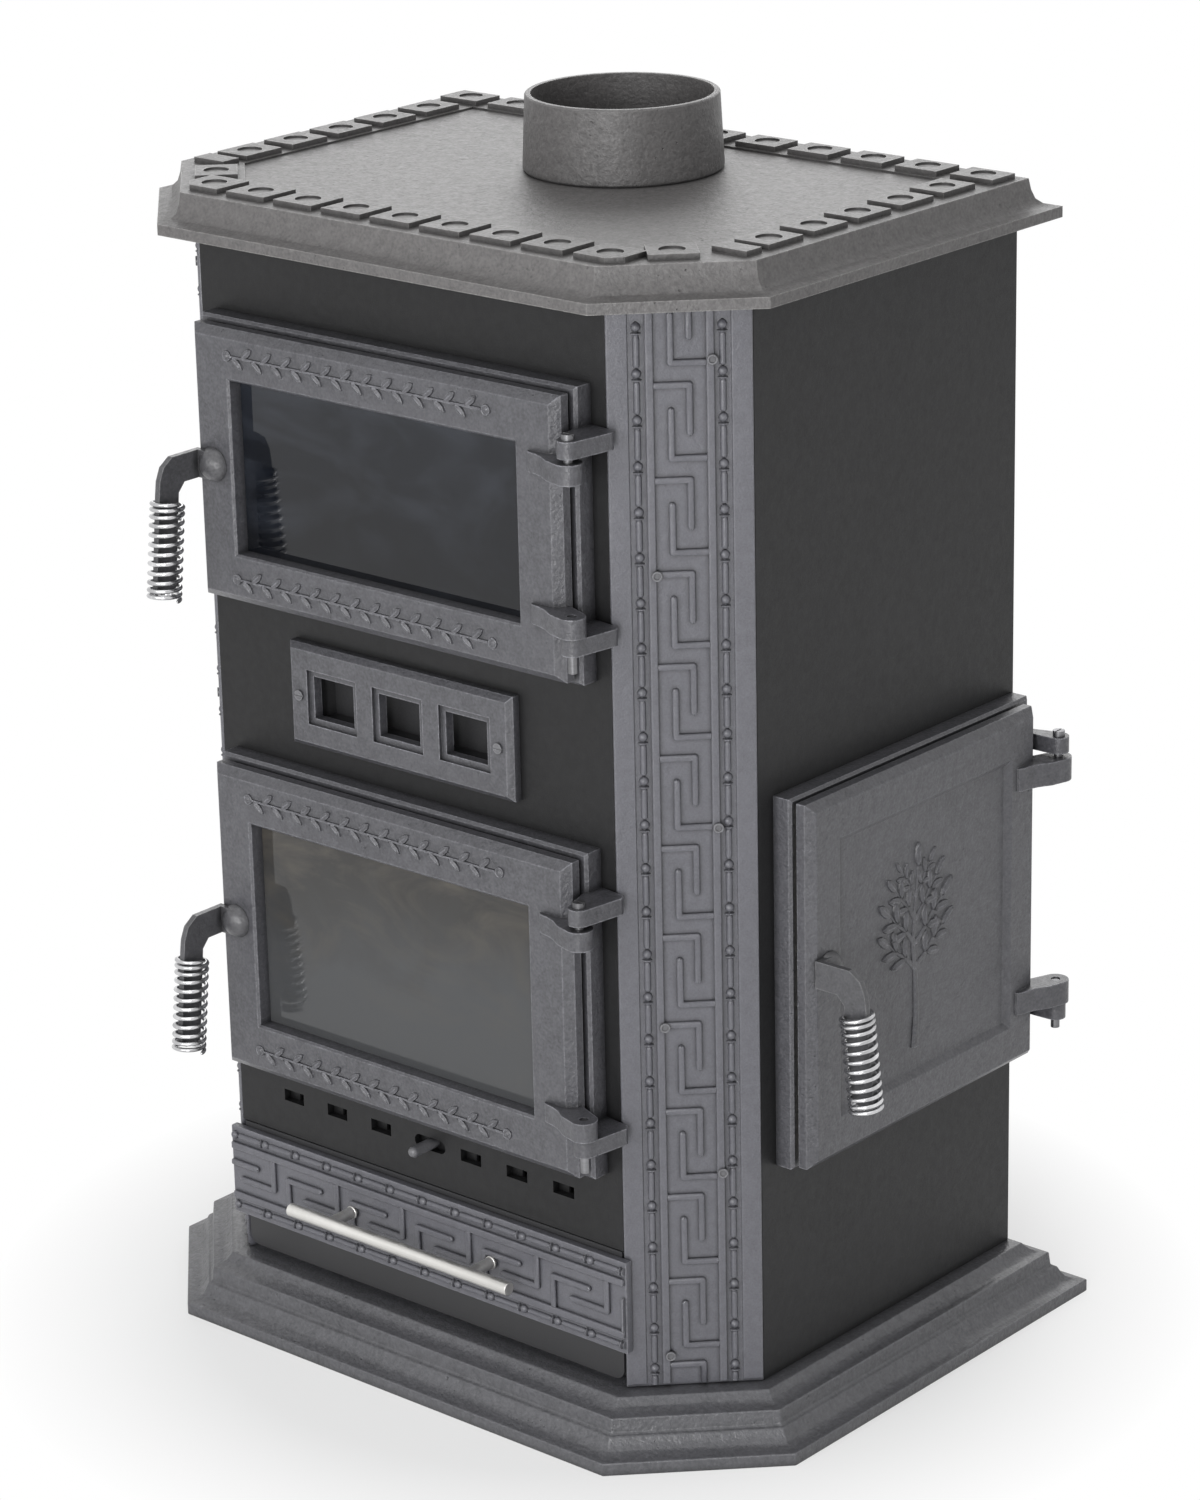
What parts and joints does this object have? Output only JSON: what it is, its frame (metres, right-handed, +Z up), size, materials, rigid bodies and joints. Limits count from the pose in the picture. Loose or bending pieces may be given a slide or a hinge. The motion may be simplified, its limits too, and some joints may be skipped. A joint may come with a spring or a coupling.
{
  "type": "cast iron stove with oven",
  "caption": "Free-standing solid-fuel cast iron stove with a hob, glazed oven and fire doors, side fuel door, ash drawer and flue collar",
  "frame": {"origin": "on the floor, under the middle of the body between its side panels and between its front and back panels", "axes": "+Z up, -Y out of the glazed front doors, +X out of the side with the fuel door"},
  "size_m": [0.6403, 0.4843, 0.9026],
  "materials": {
    "cast_iron": "satin graphite stove paint over fine cast grain, lighter on worn edges",
    "cast_iron_dark": "dark satin stove paint over cast grain",
    "sheet_black": "matt black heat-proof paint on folded sheet steel",
    "fire_brick": "matt buff vermiculite",
    "bright_steel": "bright drawn steel",
    "handle_steel": "dull cast steel, brushed",
    "stainless": "brushed stainless bar",
    "screw_dark": "satin graphite paint, worn rims",
    "glass_upper": "clear heat-proof glass before a dark oven",
    "glass_lower": "clear heat-proof glass before a dark firebox",
    "rope": "woven glass-fibre rope"
  },
  "bodies": {
    "stove": {"base_plinth": "cast_iron_dark", "front_panel": "cast_iron", "left_panel": "cast_iron", "right_panel": "cast_iron", "back_panel": "cast_iron", "left_pilaster": "cast_iron", "right_pilaster": "cast_iron", "corner_bars": "cast_iron_dark", "pilaster_screws": "screw_dark", "top_plate": "cast_iron", "flue_collar": "cast_iron", "collar_bolts": "bright_steel", "vent_grille": "cast_iron", "vent_backplate": "sheet_black", "vent_screws": "bright_steel", "upper_door_frame": "cast_iron", "lower_door_frame": "cast_iron", "side_door_frame": "cast_iron", "frame_bolts": "bright_steel", "upper_hinge_pins": "bright_steel", "lower_hinge_pins": "bright_steel", "side_hinge_pins": "bright_steel", "grate_frame": "cast_iron_dark", "fire_grate": "cast_iron_dark", "fire_brick_left": "fire_brick", "fire_brick_back": "fire_brick", "fire_brick_right": "fire_brick", "flue_baffle": "cast_iron_dark", "oven_box": "cast_iron_dark", "oven_shelf": "bright_steel", "drawer_runners": "sheet_black", "air_slide_guides": "sheet_black"},
    "upper_door": {"upper_door_leaf": "cast_iron", "upper_glass": "glass_upper", "upper_glass_clips": "bright_steel", "upper_rope_seal": "rope"},
    "upper_door_handle": {"upper_handle": "handle_steel", "upper_handle_spring": "bright_steel", "upper_latch": "bright_steel"},
    "lower_door": {"lower_door_leaf": "cast_iron", "lower_glass": "glass_lower", "lower_glass_clips": "bright_steel", "lower_rope_seal": "rope"},
    "lower_door_handle": {"lower_handle": "handle_steel", "lower_handle_spring": "bright_steel", "lower_latch": "bright_steel"},
    "fuel_door": {"side_door_leaf": "cast_iron", "side_door_liner": "cast_iron_dark", "side_rope_seal": "rope"},
    "fuel_door_handle": {"side_handle": "handle_steel", "side_handle_spring": "bright_steel", "side_latch": "bright_steel"},
    "air_control": {"air_slide": "sheet_black", "air_slide_stud": "bright_steel"},
    "ash_drawer": {"ash_tray": "sheet_black", "drawer_sheet": "sheet_black", "drawer_strip": "cast_iron", "drawer_bar": "stainless", "drawer_posts": "stainless"}
  },
  "joints": [
    {"name": "upper_door_hinge", "type": "hinge", "parent": "stove", "child": "upper_door", "pos_m": [0.185, -0.218, 0.66], "axis": [0, 0, 1], "range_deg": [0, 115]},
    {"name": "upper_handle_turn", "type": "hinge", "parent": "upper_door", "child": "upper_door_handle", "pos_m": [-0.15, -0.2113, 0.6655], "axis": [0, 1, 0], "range_deg": [0, 90]},
    {"name": "lower_door_hinge", "type": "hinge", "parent": "stove", "child": "lower_door", "pos_m": [0.185, -0.218, 0.32], "axis": [0, 0, 1], "range_deg": [0, 115]},
    {"name": "lower_handle_turn", "type": "hinge", "parent": "lower_door", "child": "lower_door_handle", "pos_m": [-0.15, -0.2113, 0.324], "axis": [0, 1, 0], "range_deg": [0, 90]},
    {"name": "fuel_door_hinge", "type": "hinge", "parent": "stove", "child": "fuel_door", "pos_m": [0.292, 0.1835, 0.34], "axis": [0, 0, 1], "range_deg": [0, 115]},
    {"name": "fuel_handle_turn", "type": "hinge", "parent": "fuel_door", "child": "fuel_door_handle", "pos_m": [0.2853, -0.075, 0.351], "axis": [-1, 0, 0], "range_deg": [0, 90]},
    {"name": "air_slide_travel", "type": "slide", "parent": "stove", "child": "air_control", "axis": [-1, 0, 0], "range_m": [-0.0095, 0.0095]},
    {"name": "ash_drawer_travel", "type": "slide", "parent": "stove", "child": "ash_drawer", "axis": [0, -1, 0], "range_m": [0, 0.25]}
  ]
}
